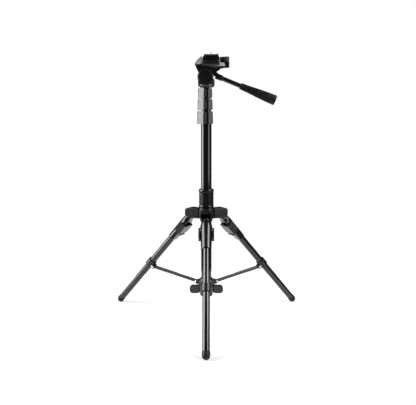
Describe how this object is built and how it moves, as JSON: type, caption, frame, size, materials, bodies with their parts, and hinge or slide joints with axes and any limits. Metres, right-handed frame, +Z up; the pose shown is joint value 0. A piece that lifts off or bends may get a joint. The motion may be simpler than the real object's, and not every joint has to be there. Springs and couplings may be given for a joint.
{
  "type": "tabletop tripod with pan head",
  "caption": "Compact black tripod: telescoping column, braced legs that fold along it, and a pan-and-tilt head with a handle and quick-release plate.",
  "frame": {"origin": "centre of the footprint at floor level", "axes": "+Z up the column; one leg points to -Y, the other two to +Y and the sides; the handle points to +X"},
  "size_m": [0.4768, 0.4158, 0.638],
  "materials": {
    "tube_black": "glossy black anodised tube",
    "plastic_black": "black moulded plastic, satin",
    "plastic_satin": "dark grey moulded plastic, semi-gloss",
    "rubber_black": "matt black rubber",
    "steel": "bright plated steel",
    "cork": "brown cork-rubber pad"
  },
  "bodies": {
    "root": {"main_tube": "tube_black", "collar_1": "plastic_black", "collar_1_pin": "steel", "hub_body": "plastic_black", "end_cap": "rubber_black", "hub_pin_1": "steel", "hub_pin_2": "steel", "hub_pin_3": "steel"},
    "wing_nut": {"wing_nut": "plastic_black"},
    "shoulder": {"shoulder": "plastic_black"},
    "lock_sleeve": {"lock_sleeve": "plastic_black"},
    "brace_1": {"brace_1": "tube_black"},
    "leg_1": {"leg_1_bracket": "plastic_black", "leg_1_pivot_pin": "steel", "leg_1_lever_pin": "steel", "leg_1_tube": "tube_black", "leg_1_foot": "rubber_black", "leg_1_brace_ring": "plastic_black", "leg_1_rivet": "steel"},
    "leg_lever_1": {"leg_1_lever": "plastic_satin"},
    "brace_2": {"brace_2": "tube_black"},
    "leg_2": {"leg_2_bracket": "plastic_black", "leg_2_pivot_pin": "steel", "leg_2_lever_pin": "steel", "leg_2_tube": "tube_black", "leg_2_foot": "rubber_black", "leg_2_brace_ring": "plastic_black", "leg_2_rivet": "steel"},
    "leg_lever_2": {"leg_2_lever": "plastic_satin"},
    "brace_3": {"brace_3": "tube_black"},
    "leg_3": {"leg_3_bracket": "plastic_black", "leg_3_pivot_pin": "steel", "leg_3_lever_pin": "steel", "leg_3_tube": "tube_black", "leg_3_foot": "rubber_black", "leg_3_brace_ring": "plastic_black", "leg_3_rivet": "steel"},
    "leg_lever_3": {"leg_3_lever": "plastic_satin"},
    "stage_2": {"stage_2_tube": "tube_black", "collar_2": "plastic_black", "collar_2_pin": "steel"},
    "stage_3": {"stage_3_tube": "tube_black", "collar_3": "plastic_black", "collar_3_pin": "steel"},
    "stage_4": {"stage_4_tube": "tube_black"},
    "collar_lever_1": {"collar_1_lever": "plastic_satin"},
    "collar_lever_2": {"collar_2_lever": "plastic_satin"},
    "collar_lever_3": {"collar_3_lever": "plastic_satin"},
    "pan": {"pan_base": "plastic_satin", "tilt_axle": "steel"},
    "tilt": {"tilt_body": "plastic_black", "tilt_cover_front": "rubber_black", "tilt_cover_rear": "rubber_black", "handle_socket": "plastic_black"},
    "handle": {"handle_rod": "tube_black", "handle_grip": "rubber_black"},
    "release_lever": {"release_lever": "plastic_satin"},
    "plate": {"release_plate": "plastic_black", "plate_pad": "cork"},
    "camera_screw": {"camera_screw": "steel"}
  },
  "joints": [
    {"name": "shoulder_slide", "type": "slide", "parent": "root", "child": "shoulder", "axis": [0, 0, 1], "range_m": [0, 0.14948]},
    {"name": "brace_1_hinge", "type": "hinge", "parent": "root", "child": "brace_1", "pos_m": [0, 0.04056, 0.0886], "axis": [-1, 0, 0], "range_deg": [0, 78.85]},
    {"name": "leg_1_hinge", "type": "hinge", "parent": "brace_1", "child": "leg_1", "pos_m": [0, -0.08972, 0.10961], "axis": [-1, 0, 0], "range_deg": [-121.04, 0]},
    {"name": "leg_1_lever_hinge", "type": "hinge", "parent": "leg_1", "child": "leg_lever_1", "pos_m": [0, -0.00527, 0.20203], "axis": [1, 0, 0], "range_deg": [-85, 0]},
    {"name": "brace_2_hinge", "type": "hinge", "parent": "root", "child": "brace_2", "pos_m": [0.02217, 0.07896, 0.0886], "axis": [0.5, -0.866, 0], "range_deg": [0, 78.85]},
    {"name": "leg_2_hinge", "type": "hinge", "parent": "brace_2", "child": "leg_2", "pos_m": [0.135, 0.1441, 0.10961], "axis": [0.5, -0.866, 0], "range_deg": [-121.04, 0]},
    {"name": "leg_2_lever_hinge", "type": "hinge", "parent": "leg_2", "child": "leg_lever_2", "pos_m": [0.06186, 0.10187, 0.20203], "axis": [-0.5, 0.866, 0], "range_deg": [-85, 0]},
    {"name": "brace_3_hinge", "type": "hinge", "parent": "root", "child": "brace_3", "pos_m": [-0.02217, 0.07896, 0.0886], "axis": [0.5, 0.866, 0], "range_deg": [0, 78.85]},
    {"name": "leg_3_hinge", "type": "hinge", "parent": "brace_3", "child": "leg_3", "pos_m": [-0.135, 0.1441, 0.10961], "axis": [0.5, 0.866, 0], "range_deg": [-121.04, 0]},
    {"name": "leg_3_lever_hinge", "type": "hinge", "parent": "leg_3", "child": "leg_lever_3", "pos_m": [-0.06186, 0.10187, 0.20203], "axis": [-0.5, -0.866, 0], "range_deg": [-85, 0]},
    {"name": "sleeve_twist", "type": "hinge", "parent": "shoulder", "child": "lock_sleeve", "pos_m": [0, 0.06616, 0.296], "axis": [0, 0, 1], "range_deg": [0, 120]},
    {"name": "wing_twist", "type": "hinge", "parent": "root", "child": "wing_nut", "pos_m": [0, 0.06616, 0.075], "axis": [0, 0, 1], "range_deg": [-90, 0]},
    {"name": "stage_2_slide", "type": "slide", "parent": "root", "child": "stage_2", "axis": [0, 0, 1], "range_m": [0, 0.35]},
    {"name": "stage_3_slide", "type": "slide", "parent": "stage_2", "child": "stage_3", "axis": [0, 0, 1], "range_m": [0, 0.35]},
    {"name": "stage_4_slide", "type": "slide", "parent": "stage_3", "child": "stage_4", "axis": [0, 0, 1], "range_m": [0, 0.35]},
    {"name": "collar_1_lever_hinge", "type": "hinge", "parent": "root", "child": "collar_lever_1", "pos_m": [-0.01758, 0.07362, 0.4878], "axis": [0, 0, 1], "range_deg": [-100, 0]},
    {"name": "collar_2_lever_hinge", "type": "hinge", "parent": "stage_2", "child": "collar_lever_2", "pos_m": [-0.01666, 0.07323, 0.518], "axis": [0, 0, 1], "range_deg": [-100, 0]},
    {"name": "collar_3_lever_hinge", "type": "hinge", "parent": "stage_3", "child": "collar_lever_3", "pos_m": [-0.01565, 0.0728, 0.5442], "axis": [0, 0, 1], "range_deg": [-100, 0]},
    {"name": "pan_turn", "type": "hinge", "parent": "stage_4", "child": "pan", "pos_m": [0, 0.06616, 0.561], "axis": [0, 0, 1], "continuous": true},
    {"name": "tilt_hinge", "type": "hinge", "parent": "pan", "child": "tilt", "pos_m": [-0.002, 0.06616, 0.5811], "axis": [0, 1, 0], "range_deg": [-85, 25]},
    {"name": "handle_twist", "type": "hinge", "parent": "tilt", "child": "handle", "pos_m": [0.022, 0.06616, 0.5844], "axis": [0.9259, 0, -0.3778], "range_deg": [0, 270]},
    {"name": "release_lever_hinge", "type": "hinge", "parent": "tilt", "child": "release_lever", "pos_m": [0.038, 0.06616, 0.62], "axis": [0, 0, 1], "range_deg": [0, 45]},
    {"name": "plate_lift", "type": "slide", "parent": "tilt", "child": "plate", "axis": [0, 0, 1], "range_m": [0, 0.012]},
    {"name": "camera_screw_turn", "type": "hinge", "parent": "plate", "child": "camera_screw", "pos_m": [0.0108, 0.06616, 0.63], "axis": [0, 0, 1], "continuous": true}
  ],
  "couplings": [
    {"joint": "brace_1_hinge", "follows": "shoulder_slide", "rad_per_m": 9.2056},
    {"joint": "leg_1_hinge", "follows": "shoulder_slide", "rad_per_m": -14.132},
    {"joint": "brace_2_hinge", "follows": "shoulder_slide", "rad_per_m": 9.2056},
    {"joint": "leg_2_hinge", "follows": "shoulder_slide", "rad_per_m": -14.132},
    {"joint": "brace_3_hinge", "follows": "shoulder_slide", "rad_per_m": 9.2056},
    {"joint": "leg_3_hinge", "follows": "shoulder_slide", "rad_per_m": -14.132}
  ]
}
